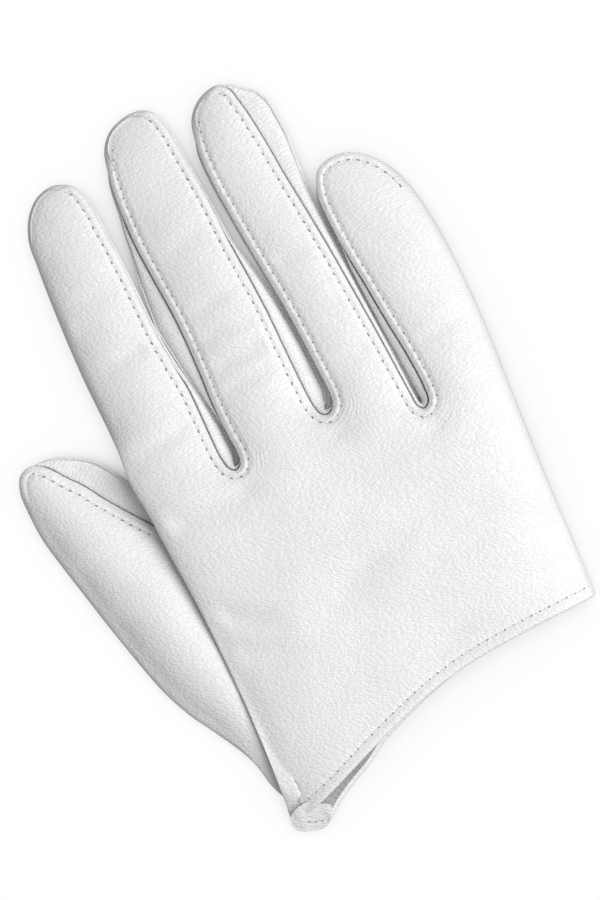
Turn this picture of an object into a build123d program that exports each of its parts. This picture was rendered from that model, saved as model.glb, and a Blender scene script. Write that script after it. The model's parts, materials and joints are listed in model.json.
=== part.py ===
"""A short leather glove for the right hand, lying palm down, in millimetres.

+Y runs from the wrist to the fingertips and +Z from the palm side to the back of the hand.
The origin is under the middle of the glove, on the surface that the palm side rests on.
The trank (back and palm) and the strips between the fingers (fourchettes) are cut at the
knuckles, so that each finger's base, mid and tip can turn.
"""

from build123d import *
from dataclasses import dataclass
from math import acos, atan2, cos, degrees, hypot, radians, sin, tan
import os

# Leather and heights
LEATHER = 0.9  # thickness of one layer
GLOVE_H = 11.0  # height of the hand and the fingers
THUMB_H = 9.5  # height of the thumb
SEAM_H = 2.6  # how far a back or palm strip rolls round to its side seams
BACK_ROUND = 2.4  # outer edge radius on the back side
PALM_ROUND = 1.6  # outer edge radius on the palm side

# Hand
RIGHT_X = 56.7  # side seam, along the little finger's side
LEFT_EDGE = [(-33.4, 30), (-32.9, 8), (-30.4, -11), (-27.2, -42), (-27.0, -95)]
BACK_WRIST = [(RIGHT_X + 4, -57.4), (14.4, -63.7), (-31.0, -81.0)]
PALM_WRIST = [(RIGHT_X + 4, -57.2), (16.0, -64.6), (-20.0, -83.4), (-31.0, -83.4)]
HEM_W = 6.0  # depth of the turned hem
TAB = [(-27.0, -77.0), (-27.0, -82.6), (-23.0, -84.0), (-19.6, -83.4), (-21.0, -79.0)]
TAB_T = 1.4

# Slits between the fingers: lowest point of each, and how far it is rounded
SLIT_BOTTOMS = [(-8.9, -0.8), (15.2, 3.2), (36.3, -3.8)]
SLIT_TOP = 24.0

# Stitches
STITCH_PITCH, STITCH_LENGTH = 2.3, 1.7
TACK_PITCH, TACK_LENGTH = 1.4, 1.0
THREAD = (0.5, 0.35)  # width and height of a stitch
STITCH_INSET = 1.8
TACK_LINE = [(-25.0, -81.2), (-20.8, -82.6)]

# Joints
KNUCKLE_GAP = 0.35  # clearance on each side of a joint
SLIT_SIDE = 0.4  # how far the cut at a finger's base goes past its side, into a slit
FREE_SIDE = 6.0  # and on a side with no slit
BASE_CURL, BASE_BACK = 75, 20  # degrees, towards the palm and backwards
MID_CURL = 80
TIP_CURL = MID_CURL * 2 / 3
THUMB_CURL = 45
THUMB_TIP_CURL = 55
FAR = 200.0


@dataclass
class Finger:
    """A finger, in its own frame: Y along it from its base joint, X across it to the right."""

    name: str
    at: tuple  # the base joint's middle, in the glove's frame
    lean: float  # degrees towards the thumb
    left: float  # width to the left of the base joint's middle
    right: float
    tip_x: float  # where the round tip's centre lies across the finger
    tip_r: float
    length: float
    joints: tuple  # distance of each joint from the base joint
    curls: tuple  # most curl at each joint, in degrees
    walls: tuple  # the sides with a fourchette
    height: float = GLOVE_H
    back: float = 0.0  # how far the base joint turns backwards

    def place(self):
        """From the finger's frame to the glove's."""
        return Location((self.at[0], self.at[1], 0), (0, 0, self.lean))

    def point(self, x, y):
        """A point of the finger's frame in the glove's plan."""
        c, s = cos(radians(self.lean)), sin(radians(self.lean))
        return (self.at[0] + x * c - y * s, self.at[1] + x * s + y * c)


FINGERS = [
    Finger("index", (-21.95, 8.0), 3.0, 10.85, 10.2, 0.3, 8.6, 67.2,
           (0, 17, 40), (BASE_CURL, MID_CURL, TIP_CURL), ("right",), back=BASE_BACK),
    Finger("middle", (2.15, 12.0), 4.2, 11.2, 11.2, 0.6, 9.2, 72.2,
           (0, 16, 43), (BASE_CURL, MID_CURL, TIP_CURL), ("left", "right"), back=BASE_BACK),
    Finger("ring", (25.7, 12.0), 5.3, 8.8, 8.8, 0.2, 9.4, 71.4,
           (0, 15, 41), (BASE_CURL, MID_CURL, TIP_CURL), ("left", "right"), back=BASE_BACK),
    Finger("little", (47.15, 4.5), 6.3, 9.4, 9.5, -0.6, 9.6, 53.4,
           (0, 14.5, 32), (BASE_CURL, MID_CURL, TIP_CURL), ("left",), back=BASE_BACK),
]
THUMB = Finger("thumb", (-35.65, -30.0), 17.9, 11.2, 6.3, 1.1, 9.5, 50.6,
               (0, 22), (THUMB_CURL, THUMB_TIP_CURL), (), height=THUMB_H)
# The thumb's outer edge, from the wrist up to the base joint
THUMB_HEEL = [(-26.0, -75.5), (-28.4, -68.5), (-32.7, -60.5), (-39.6, -49.0), (-45.4, -36.5)]
SEGMENTS = ["base", "mid", "tip"]


def block(x0, x1, y0, y1, z0, z1):
    """A box between these limits."""
    return Pos((x0 + x1) / 2, (y0 + y1) / 2, (z0 + z1) / 2) * Box(x1 - x0, y1 - y0, z1 - z0)


def prism(edges, z0, z1):
    """A closed plan outline raised from z0 to z1."""
    return Pos(0, 0, z0) * extrude(make_face(edges), z1 - z0)


def rounded(solid, back_r, palm_r):
    """Rounds the long outer edges of a prism, more on the back side than on the palm side."""
    solid = fillet(solid.edges().group_by(Axis.Z)[-1], back_r)
    return fillet(solid.edges().group_by(Axis.Z)[0], palm_r)


def side_line(half, tip_r, reach):
    """Where a line from (half, 0) touches a circle of tip_r centred at (0, reach), and its lean."""
    angle = acos(tip_r / hypot(half, reach)) - atan2(reach, half)
    return (tip_r * cos(angle), reach + tip_r * sin(angle)), tan(angle)


def finger_plan(finger, inset, start):
    """The finger's outline from y = start to its round tip, moved inwards by inset."""
    reach, r = finger.length - finger.tip_r, finger.tip_r - inset
    (rx, ry), r_lean = side_line(finger.right - inset - finger.tip_x, r, reach)
    (lx, ly), l_lean = side_line(finger.left - inset + finger.tip_x, r, reach)
    cx = finger.tip_x
    right_root = (finger.right - inset - start * r_lean, start)
    left_root = (-(finger.left - inset) + start * l_lean, start)
    right_top, left_top = (cx + rx, ry), (cx - lx, ly)
    tip = ThreePointArc(right_top, (cx, reach + r), left_top)
    return [tip, Polyline(left_top, left_root, right_root, right_top)]


def finger_shell(finger):
    """The hollow finger, from 20 mm inside the hand to its tip."""
    outer = rounded(prism(finger_plan(finger, 0, -20), 0, finger.height), BACK_ROUND, PALM_ROUND)
    roof = finger.height - LEATHER
    inner = rounded(prism(finger_plan(finger, LEATHER, -21), LEATHER, roof),
                    BACK_ROUND - LEATHER, PALM_ROUND - LEATHER)
    return outer - inner


def joint_plane(finger, y, curl, back, side):
    """The stretch that the finger keeps on one side of a joint (-1 before it, +1 after it).

    The palm side is cut back by half the curl and the back side by half the backward turn,
    so the two sides only just meet at the limits.
    """
    middle = finger.height / 2
    edge = y + side * KNUCKLE_GAP
    low = edge + side * (middle + 1) * tan(radians(curl / 2))
    high = edge + side * (middle + 1) * tan(radians(back / 2))
    far = y + side * FAR
    outline = Polyline((edge, middle), (high, finger.height + 1), (far, finger.height + 1),
                       (far, -1), (low, -1), close=True)
    return extrude(Plane.YZ * make_face(outline), FAR, both=True)


def segment(finger, shell, n):
    """The hollow finger between joint n and the next one."""
    back = finger.back if n == 0 else 0
    piece = shell & joint_plane(finger, finger.joints[n], finger.curls[n], back, 1)
    if n + 1 < len(finger.joints):
        piece &= joint_plane(finger, finger.joints[n + 1], finger.curls[n + 1], 0, -1)
    return piece


def finger_nodes(finger):
    """Each segment as its back strip, palm strip and fourchettes. The palm strip wraps the tip."""
    shell = finger_shell(finger)
    roof = finger.height - SEAM_H
    seam_end = finger.length - 0.6 * finger.tip_r
    sides = {"left": (-FAR, finger.tip_x), "right": (finger.tip_x, FAR)}
    upper = block(-FAR, FAR, -FAR, FAR, roof, FAR)
    strips = {}
    for name, (x0, x1) in sides.items():
        if name in finger.walls:
            strips[name] = block(x0, x1, -FAR, seam_end, SEAM_H, roof)
        else:
            upper += block(x0, x1, -FAR, seam_end, finger.height / 2, FAR)
    nodes = {}
    for n, part in enumerate(SEGMENTS):
        piece = segment(finger, shell, n)
        nodes[f"{finger.name}_{part}_back"] = piece & upper
        palm = piece - upper
        for name, strip in strips.items():
            nodes[f"{finger.name}_{part}_{name}_fourchette"] = palm & strip
            palm -= strip
        nodes[f"{finger.name}_{part}_palm"] = palm
    return {name: finger.place() * solid for name, solid in nodes.items()}


def thumb_nodes():
    """The thumb's two turning segments, each in an upper and a lower half."""
    shell = finger_shell(THUMB)
    upper = block(-FAR, FAR, -FAR, FAR, THUMB_H / 2, FAR)
    nodes = {}
    for n, part in enumerate(["base", "tip"]):
        piece = segment(THUMB, shell, n)
        nodes[f"thumb_{part}_upper"] = THUMB.place() * (piece & upper)
        nodes[f"thumb_{part}_lower"] = THUMB.place() * (piece - upper)
    return nodes


def thumb_heel():
    """The thumb's fixed part beside the palm, and its hollow, which opens into the hand."""
    past = 12  # beyond the base joint, where it is cut off
    outline = THUMB_HEEL + [THUMB.point(-THUMB.left, past), THUMB.point(THUMB.right, past),
                            THUMB.point(THUMB.right, 0), (-27.6, -36), (-26.0, -48)]
    face = make_face(Polyline(*outline, close=True))
    hollow_face = offset(face, -LEATHER)
    hollow = Pos(0, 0, LEATHER) * extrude(hollow_face, THUMB_H - 2 * LEATHER)
    towards_hand = hollow + Pos(1.0, 0, 0) * hollow + Pos(2.2, 0, 0) * hollow
    up = THUMB.point(0, 4)
    towards_tip = Pos(up[0] - THUMB.at[0], up[1] - THUMB.at[1], 0) * hollow
    hollow = towards_hand + towards_tip
    return extrude(face, THUMB_H), hollow


def slit_face(n):
    """Plan of the slit between finger n and the next one, with a round bottom."""
    left, right = FINGERS[n], FINGERS[n + 1]
    bottom = SLIT_BOTTOMS[n]
    rise = 2.2

    def beside(finger, side, y):
        """The point of a finger's side at this height in the glove's plan."""
        half = finger.right if side > 0 else finger.left
        reach = finger.length - finger.tip_r
        (_, _), lean = side_line(half - side * finger.tip_x, finger.tip_r, reach)
        along = (y - finger.at[1]) / cos(radians(finger.lean))
        return finger.point(side * (half - along * lean), along)

    low_left, low_right = beside(left, 1, bottom[1] + rise), beside(right, -1, bottom[1] + rise)
    arc = ThreePointArc(low_left, bottom, low_right)
    sides = Polyline(low_right, beside(right, -1, SLIT_TOP), beside(left, 1, SLIT_TOP), low_left)
    return make_face([arc, sides])


def wrist_cut(points, z0, z1):
    """What is cut away below a curved wrist edge."""
    curve = Spline(*points)
    below = Polyline(points[-1], (points[-1][0], -FAR), (points[0][0], -FAR), points[0])
    return prism([curve, below], z0, z1)


def hand_parts():
    """The hand's outer solid and its hollow, both still without slits."""
    right = [(RIGHT_X, -95), (RIGHT_X, -8), (RIGHT_X - 0.4, 30)]
    outer = prism([Polyline(*LEFT_EDGE, *right, close=True)], 0, GLOVE_H)
    outer = rounded(outer, BACK_ROUND, PALM_ROUND)
    left_in = [(x + LEATHER, y + (1 if y > 0 else -1)) for x, y in LEFT_EDGE]
    right_in = [(x - LEATHER, y + (1 if y > 0 else -1)) for x, y in right]
    inner = prism([Polyline(*left_in, *right_in, close=True)], LEATHER, GLOVE_H - LEATHER)
    inner = rounded(inner, BACK_ROUND - LEATHER, PALM_ROUND - LEATHER)
    return outer, inner


def hand_nodes():
    """Back and palm panels, the forks in the slits, the thumb's heel, the hems and the tab."""
    outer, inner = hand_parts()
    slits = [slit_face(n) for n in range(len(SLIT_BOTTOMS))]
    forks = [extrude(offset(face, LEATHER), GLOVE_H) for face in slits]
    hollow = inner
    for fork in forks:
        hollow -= fork
    cuts = []
    for finger in FINGERS + [THUMB]:
        past_left = SLIT_SIDE if "left" in finger.walls else FREE_SIDE
        past_right = SLIT_SIDE if "right" in finger.walls else FREE_SIDE
        width = block(-finger.left - past_left, finger.right + past_right, -20, FAR, -1, GLOVE_H + 1)
        kept = joint_plane(finger, 0, finger.curls[0], finger.back, -1)
        cuts.append(finger.place() * (width - kept))
    cuts.append(block(-FAR, FAR, SLIT_TOP - 4, FAR, -1, GLOVE_H + 1))
    back_wrist = wrist_cut(BACK_WRIST, GLOVE_H / 2, GLOVE_H)
    palm_wrist = wrist_cut(PALM_WRIST, 0, GLOVE_H / 2)

    heel, heel_hollow = thumb_heel()
    shell = outer - hollow - heel_hollow
    for face in slits:
        shell -= extrude(face, GLOVE_H)
    for cut in cuts + [back_wrist, palm_wrist]:
        shell -= cut
    upper = block(-FAR, FAR, -FAR, FAR, GLOVE_H / 2, FAR)
    between = block(-FAR, FAR, -FAR, FAR, SEAM_H, GLOVE_H - SEAM_H)
    nodes = {}
    panels = shell
    for n, fork in enumerate(forks):
        name = f"fork_{FINGERS[n].name}_{FINGERS[n + 1].name}"
        nodes[name] = shell & fork & between
        panels -= fork & between
    nodes["back_panel"] = panels & upper
    nodes["palm_panel"] = panels - upper
    nodes["thumb_heel"] = heel - heel_hollow - cuts[len(FINGERS)] - outer

    roof, floor = GLOVE_H - LEATHER, LEATHER
    under_back = block(-FAR, FAR, -FAR, FAR, roof - LEATHER, roof)
    above_palm = block(-FAR, FAR, -FAR, FAR, floor, floor + LEATHER)
    back_band = Pos(0, HEM_W, 0) * wrist_cut(BACK_WRIST, 0, GLOVE_H) - back_wrist
    palm_band = Pos(0, HEM_W, 0) * wrist_cut(PALM_WRIST, 0, GLOVE_H) - palm_wrist
    nodes["back_hem"] = hollow & under_back & back_band
    nodes["palm_hem"] = hollow & above_palm & palm_band
    tab = prism([Polyline(*TAB, close=True)], floor + LEATHER, floor + LEATHER + TAB_T)
    nodes["wrist_tab"] = hollow & tab
    return nodes


def stitches(wire, z, pitch, length, keep=lambda p: True):
    """A row of separate stitches along a wire, lying on the surface at height z."""
    count = int(wire.length / pitch)
    row = []
    for n in range(count):
        at = wire.position_at((n + 0.5) / count)
        along = wire.tangent_at((n + 0.5) / count)
        if keep(at):
            turn = Rot(0, 0, degrees(atan2(along.Y, along.X)))
            row.append(Pos(at.X, at.Y, z + THREAD[1] / 2) * turn * Box(length, *THREAD))
    return Compound(children=row)


def stitch_nodes():
    """The visible thread rows that lie on the hand: round the slits, along the hem, on the tab."""
    edge = [(x, y + STITCH_INSET) for x, y in BACK_WRIST]
    on_top = lambda p: -24 < p.X < RIGHT_X - 3.5
    hem = stitches(Spline(*edge), GLOVE_H, STITCH_PITCH, STITCH_LENGTH, on_top)
    rows = []
    for n in range(len(SLIT_BOTTOMS)):
        wire = offset(slit_face(n), LEATHER + STITCH_INSET).face().outer_wire()
        limit = min(FINGERS[n].at[1], FINGERS[n + 1].at[1]) - 3.0
        rows += stitches(wire, GLOVE_H, STITCH_PITCH, STITCH_LENGTH, lambda p: p.Y < limit).children
    tack_z = 2 * LEATHER + TAB_T
    return {
        "hem_stitching": hem,
        "slit_stitching": Compound(children=rows),
        "tab_bar_tack": stitches(Line(*TACK_LINE), tack_z, TACK_PITCH, TACK_LENGTH),
    }


def all_nodes():
    """Every node of the glove, by name."""
    nodes = hand_nodes()
    for finger in FINGERS:
        nodes.update(finger_nodes(finger))
    nodes.update(thumb_nodes())
    nodes.update(stitch_nodes())
    return nodes


def main():
    os.makedirs("parts", exist_ok=True)
    for name, solid in all_nodes().items():
        export_step(solid, f"parts/{name}.step")


if __name__ == "__main__":
    main()
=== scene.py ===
"""The looks of a short white leather glove, palm down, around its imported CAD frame.

All shapes are worked out in millimetres in the glove's own frame and scaled when a mesh is made.
The leather is one skin: sheets for the back and the palm, and strips of rows for what rolls round
the sides. It is split into pieces where nothing bends, so that each piece crosses one joint at most.
"""
import bpy
import json
import math
import numpy as np
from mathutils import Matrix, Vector, geometry
from mathutils.bvhtree import BVHTree
from mathutils.kdtree import KDTree

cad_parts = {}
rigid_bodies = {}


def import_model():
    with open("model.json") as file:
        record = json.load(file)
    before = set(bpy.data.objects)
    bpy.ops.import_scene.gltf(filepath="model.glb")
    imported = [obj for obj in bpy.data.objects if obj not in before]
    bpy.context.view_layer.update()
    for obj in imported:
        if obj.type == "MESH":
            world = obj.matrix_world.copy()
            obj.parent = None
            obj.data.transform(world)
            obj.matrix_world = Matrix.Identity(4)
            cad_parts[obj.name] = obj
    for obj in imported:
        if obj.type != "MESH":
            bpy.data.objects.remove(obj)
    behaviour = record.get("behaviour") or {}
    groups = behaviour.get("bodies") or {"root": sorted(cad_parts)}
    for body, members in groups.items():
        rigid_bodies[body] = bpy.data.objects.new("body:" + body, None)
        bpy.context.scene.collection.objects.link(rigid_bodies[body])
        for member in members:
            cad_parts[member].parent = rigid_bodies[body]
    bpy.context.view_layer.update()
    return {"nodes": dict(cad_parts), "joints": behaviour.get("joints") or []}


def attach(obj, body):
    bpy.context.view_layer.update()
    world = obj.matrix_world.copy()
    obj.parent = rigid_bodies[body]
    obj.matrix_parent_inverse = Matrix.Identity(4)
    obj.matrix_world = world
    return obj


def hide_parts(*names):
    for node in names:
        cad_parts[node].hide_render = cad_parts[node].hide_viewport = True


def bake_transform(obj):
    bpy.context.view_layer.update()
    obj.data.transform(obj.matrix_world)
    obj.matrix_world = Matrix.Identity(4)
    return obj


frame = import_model()

MM = 0.001
STEP = 0.4  # spacing of the points along an outline
GRID = 0.75  # spacing of the points of a back sheet
PALM_GRID = 1.3  # and of a palm sheet
UNDERSIDE = 0.02  # height of the underside over the floor
STITCH_INSET, STITCH_PITCH = 1.8, 2.28
RELAX = 5.6  # how far a side seam pulls the back down
THUMB_RELAX = 4.2
PALM_REACH = 7.0  # the same for the undersides
WRIST = -68.0  # the straight wrist line, before it is bent to the hem
WRIST_BLEND = -18.0  # the bend of the wrist line has faded out here

# The back's hem edge and the palm's, from the side seam to the fold
BACK_HEM = [(56.7, -57.6), (39.3, -59.0), (24.3, -61.0), (14.3, -63.6), (4.3, -67.3), (-5.7, -71.7),
            (-15.7, -76.3), (-20.7, -78.3), (-27.2, -80.2)]
PALM_HEM = [(56.7, -57.6), (39.3, -59.1), (24.3, -61.3), (14.3, -64.3), (4.3, -68.4), (-0.7, -70.8),
            (-5.7, -74.3), (-10.7, -77.0), (-15.7, -80.2), (-18.7, -82.7), (-20.7, -83.7), (-23.7, -83.4),
            (-26.2, -82.2), (-27.2, -80.2)]

# The hand's outline, clockwise from the wrist's thumb side: x, y and how far the strip between
# the fingers bulges out from under the back's edge
FOLD_SIDE = [(-27.2, -68, 0), (-26.7, -60, 0), (-26.6, -50, 0), (-28.0, -30, 0), (-30.0, -13, 0)]
THUMB_SIDE = [(-31.2, -2, 0), (-32.4, 6, 0), (-32.2, 12.5, 0)]
INDEX_FOLD = [(-32.6, 19, 0), (-33.5, 32, 0), (-33.8, 46, 0), (-33.6, 60, 0)]
INDEX_TIP = [(-33.0, 65.5, 0), (-31.0, 70.6, 0), (-27.5, 74.1, 0), (-23.4, 75.2, 0)]
INDEX_RIGHT = [(-19.6, 73.9, 0.1), (-17.6, 70.0, 0.2), (-16.2, 60, 0.2), (-15.2, 50, 0.2), (-14.2, 35, 0.3),
               (-13.0, 26, 0.6), (-12.1, 20, 1.2), (-11.6, 10, 3.2), (-11.1, 3, 3.4)]
SLIT_1 = [(-10.2, 0.2, 2.2), (-8.8, -0.8, 1.4), (-7.4, 0.0, 0.7)]
MIDDLE_LEFT = [(-6.9, 2.4, 0.2), (-7.5, 8, 0.3), (-8.0, 15, 1.0), (-8.1, 25, 3.4), (-8.6, 36, 5.0),
               (-9.9, 47, 3.3), (-10.8, 55, 1.6), (-11.1, 64, 0.5), (-10.7, 72, 0.2)]
MIDDLE_TIP = [(-9.2, 78.4, 0), (-6.0, 82.2, 0), (-0.2, 84.0, 0)]
MIDDLE_RIGHT = [(3.4, 83.2, 0.1), (5.6, 78.5, 0.2), (6.9, 70, 0.2), (8.2, 60, 0.3), (9.2, 48, 0.8),
                (10.4, 38, 2.4), (11.2, 30, 3.3), (11.8, 20, 4.2), (12.6, 9, 4.3), (13.0, 6.2, 3.4)]
SLIT_2 = [(13.9, 3.9, 2.4), (15.4, 3.2, 1.5), (17.0, 4.2, 0.7)]
RING_LEFT = [(17.7, 6.4, 0.2), (17.0, 16, 0.2), (15.6, 29, 0.2), (13.9, 40, 0.2), (12.1, 52, 0.2),
             (10.7, 64, 0.2), (10.6, 71, 0.2)]
RING_TIP = [(11.9, 77.2, 0), (15.4, 81.2, 0)]
RING_RIGHT = [(19.8, 82.7, 0), (22.2, 80.9, 0.8), (23.3, 77.6, 4.4), (24.2, 74.0, 5.6), (25.6, 66, 5.2),
              (26.7, 58, 4.0), (28.0, 50, 2.9), (29.7, 39, 2.0), (31.6, 25, 1.4), (33.0, 14, 1.2),
              (34.0, 5, 1.1), (34.5, 0.6, 1.0)]
SLIT_3 = [(35.0, -2.6, 1.3), (36.4, -3.8, 1.5), (38.0, -2.5, 1.8)]
LITTLE_LEFT = [(38.3, 1.0, 2.3), (37.5, 9, 2.3), (36.0, 18, 1.9), (34.5, 28, 1.4), (32.9, 38, 0.5),
               (32.1, 46, 0.2), (32.2, 51, 0.2)]
LITTLE_TIP = [(34.2, 55.9, 0), (38.6, 57.6, 0), (43.3, 56.8, 0), (47.6, 53.6, 0)]
LITTLE_SIDE = [(50.7, 49.2, 0), (53.0, 43, 0), (54.6, 35, 0), (55.8, 24, 0), (56.5, 10, 0), (56.4, -10, 0),
               (56.4, -35, 0), (56.7, -56, 0), (56.8, -68, 0)]

# The thumb's outline: its outer fold, then the seam of its upper side, then what the hand covers
THUMB_POINT = [(-23.2, -62, 0), (-24.6, -71.8, 0), (-26.3, -74.6, 0), (-28.1, -71.8, 0), (-30.4, -64, 0)]
THUMB_OUTER = [(-35.7, -55, 0), (-39.7, -49, 0), (-43.2, -42, 0), (-45.7, -35, 0),
               (-49.7, -22, 0), (-51.4, -16, 0), (-54.5, -5, 0), (-56.0, 1, 0), (-56.7, 8, 0)]
THUMB_TIP = [(-56.6, 13.0, 0), (-55.2, 16.4, 0), (-52.6, 17.7, 0.4)]
THUMB_SEAM = [(-50.3, 17.0, 1.4), (-48.2, 15.3, 3.0), (-45.7, 12.3, 5.0), (-42.7, 9.0, 6.2),
              (-39.7, 4.8, 6.4), (-36.7, 1.0, 6.0), (-33.7, -2.6, 5.4), (-30.6, -6.4, 4.4)]
THUMB_HIDDEN = [(-26.5, -12.5, 1.0), (-24.0, -22, 0), (-23.0, -36, 0), (-22.6, -50, 0)]

# The wrist tab and its three tacks
TAB = [(-22.0, -77.6), (-24.6, -77.9), (-26.6, -79.2), (-27.1, -80.8), (-26.6, -82.2), (-25.0, -83.1),
       (-20.9, -84.0), (-19.5, -83.2), (-18.2, -81.4), (-17.7, -80.2), (-19.6, -79.0)]
TAB_TACKS = [(-24.3, -81.4), (-22.9, -81.9), (-21.4, -82.3)]

# How each kind of edge is made. edge: the back's edge is up at its shoulder (0) or rolled down to its
# widest line (1); rim: it is a cut edge; wrap: the palm goes up behind it; groove: a stitch row
# follows it; drop: how far below the crown; inset, base: where the back's and the palm's sheets end;
# low: height of the underside; waist: how far up the widest line is; lap: how far the back stands out
EDGE_KEYS = ("edge", "rim", "wrap", "groove", "drop", "inset", "base", "low", "waist", "lap")
KINDS = {
    "fold": (1, 0, 1, 0, 3.0, 2.2, 2.6, 0, 0.5, 0),
    "over": (1, 0, 1, 0, 2.4, 2.2, 3.8, 6, 0.45, 0),
    "narrow": (1, 0, 1, 0, 2.2, 0.3, 0.25, 0, 0.5, 0),
    "side": (1, 1, 1, 0, 2.8, 2.2, 2.6, 0, 0.36, 0.3),
    "cap": (1, 1, 1, 0, 2.8, 2.0, 2.6, 0, 0.5, 0.35),
    "seam": (0, 1, 0, 1, 3.1, 0.35, 2.6, 0, 0.5, 0),
    "fork": (0, 1, 0, 1, 1.9, 0.35, 2.6, 0, 0.5, 0),
    "tip": (0, 1, 1, 1, 3.0, 0.35, 2.6, 0, 0.5, 0),
}
# How far along the outline each of them takes to change
CHANGES = dict(edge=4.5, wrap=4.5)
HAND_SPANS = [("fold", FOLD_SIDE[:1]), ("over", FOLD_SIDE[1:] + THUMB_SIDE), ("fold", INDEX_FOLD),
              ("cap", INDEX_TIP), ("seam", INDEX_RIGHT), ("fork", SLIT_1), ("seam", MIDDLE_LEFT),
              ("cap", MIDDLE_TIP), ("seam", MIDDLE_RIGHT), ("fork", SLIT_2), ("seam", RING_LEFT),
              ("cap", RING_TIP), ("seam", RING_RIGHT), ("fork", SLIT_3), ("seam", LITTLE_LEFT),
              ("tip", LITTLE_TIP), ("side", LITTLE_SIDE)]
THUMB_SPANS = [("narrow", THUMB_POINT), ("fold", THUMB_OUTER), ("tip", THUMB_TIP), ("seam", THUMB_SEAM),
               ("fold", THUMB_HIDDEN)]
# Where each stitch row of the hand starts and ends, going clockwise
STITCH_ROWS = [((-20.6, 74.5), (-9.2, 78.4)), ((2.4, 83.6), (11.9, 77.2)), ((20.4, 82.8), (52.2, 45))]
SLIT_POINTS = [SLIT_1[1][:2], SLIT_2[1][:2], SLIT_3[1][:2]]
FINGERS = ["index", "middle", "ring", "little"]


# ---------------------------------------------------------------- curves and fields

def ramp(x, a, b):
    """0 at a, 1 at b, smooth in between."""
    t = np.clip((np.asarray(x, float) - a) / (b - a), 0, 1)
    return t * t * (3 - 2 * t)


def hill(x, y, cx, cy, wx, wy, turn=0.0):
    """A smooth hill of height 1 at (cx, cy)."""
    c, s = math.cos(math.radians(turn)), math.sin(math.radians(turn))
    u = (x - cx) * c + (y - cy) * s
    v = (y - cy) * c - (x - cx) * s
    return np.exp(-((u / wx) ** 2) - (v / wy) ** 2)


def waves(x, y, size, seed):
    """Smooth uneven waves between about -1 and 1, with bumps of this size."""
    random = np.random.default_rng(seed)
    total = np.zeros_like(x)
    for _ in range(9):
        angle, phase = random.uniform(0, 2 * math.pi, 2)
        k = 2 * math.pi / (size * random.uniform(1.3, 2.6))
        total = total + np.sin(k * (x * math.cos(angle) + y * math.sin(angle)) + phase)
    return total / 4.5


def spline(rows, closed=False, step=STEP):
    """Even points of a smooth path through the rows. Columns after x and y run linearly."""
    p = np.array(rows, float)
    ends = (p[-1:], np.vstack([p[0], p[1]])) if closed else (2 * p[:1] - p[1:2], 2 * p[-1:] - p[-2:-1])
    p = np.vstack([ends[0], p, ends[1]])
    t = np.r_[0, np.cumsum(np.sqrt(np.linalg.norm(np.diff(p[:, :2], axis=0), axis=1)))]

    def slope(i):
        before = (p[i, :2] - p[i - 1, :2]) / (t[i] - t[i - 1])
        after = (p[i + 1, :2] - p[i, :2]) / (t[i + 1] - t[i])
        return (before * (t[i + 1] - t[i]) + after * (t[i] - t[i - 1])) / (t[i + 1] - t[i - 1])

    dense = []
    for i in range(1, len(p) - 2):
        u = np.linspace(0, 1, 40, endpoint=False)[:, None]
        h = t[i + 1] - t[i]
        xy = ((2 * u ** 3 - 3 * u ** 2 + 1) * p[i, :2] + (u ** 3 - 2 * u ** 2 + u) * h * slope(i)
              + (3 * u ** 2 - 2 * u ** 3) * p[i + 1, :2] + (u ** 3 - u ** 2) * h * slope(i + 1))
        dense.append(np.hstack([xy, p[i, 2:] * (1 - u) + p[i + 1, 2:] * u]))
    dense = np.vstack(dense + [p[-2:-1]])
    run = run_of(dense)
    count = max(2, int(round(run[-1] / step)))
    at = np.linspace(0, run[-1], count + 1)[:-1 if closed else None]
    return np.column_stack([np.interp(at, run, dense[:, k]) for k in range(dense.shape[1])])


def tree_of(points):
    """A search tree of points in plan."""
    tree = KDTree(len(points))
    for i, point in enumerate(points):
        tree.insert((point[0], point[1], 0), i)
    tree.balance()
    return tree


def run_of(path):
    """How far along a path each of its points is."""
    return np.r_[0, np.cumsum(np.linalg.norm(np.diff(path[:, :2], axis=0), axis=1))]


def soften(values, reach, closed):
    """A running average over about this many millimetres each way."""
    n = max(1, int(reach / STEP))
    kernel = np.hanning(2 * n + 3)[1:-1]
    kernel /= kernel.sum()
    padded = np.pad(values, n, mode="wrap" if closed else "edge")
    return np.convolve(padded, kernel, mode="valid")


class Outline:
    """A closed or open outline with, at each point, how the edge is made there."""

    def __init__(self, spans, closed):
        rows = [[*point, *KINDS[kind]] for kind, points in spans for point in points]
        path = spline(rows, closed)
        self.closed = closed
        self.xy = path[:, :2]
        self.flare = soften(path[:, 2], 2.0, closed)
        for n, key in enumerate(EDGE_KEYS):
            setattr(self, key, soften(path[:, 3 + n], CHANGES.get(key, 2.2), closed))
        if closed:
            tangent = np.roll(self.xy, -1, axis=0) - np.roll(self.xy, 1, axis=0)
        else:
            tangent = np.gradient(self.xy, axis=0)
        tangent = np.column_stack([soften(tangent[:, k], 0.8, closed) for k in range(2)])
        tangent /= np.linalg.norm(tangent, axis=1)[:, None]
        self.out = np.column_stack([-tangent[:, 1], tangent[:, 0]])
        self.run = run_of(self.xy)
        self.tree = tree_of(self.xy)

    def moved(self, outwards):
        """The outline moved outwards by this much at each point."""
        return self.xy + self.out * np.broadcast_to(outwards, len(self.xy))[:, None]

    def at(self, place):
        """The number of the outline point nearest to this place."""
        return int(np.argmin(np.linalg.norm(self.xy - np.array(place), axis=1)))

    def nearest(self, points):
        """For each point, the nearest outline point and how far inside it lies."""
        near = np.array([self.tree.find((x, y, 0))[1] for x, y in points])
        inside = -np.einsum("ij,ij->i", points - self.xy[near], self.out[near])
        far = np.linalg.norm(points - self.xy[near], axis=1)
        return near, np.where(inside > 0, far, -far)


# ---------------------------------------------------------------- sheets

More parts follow.
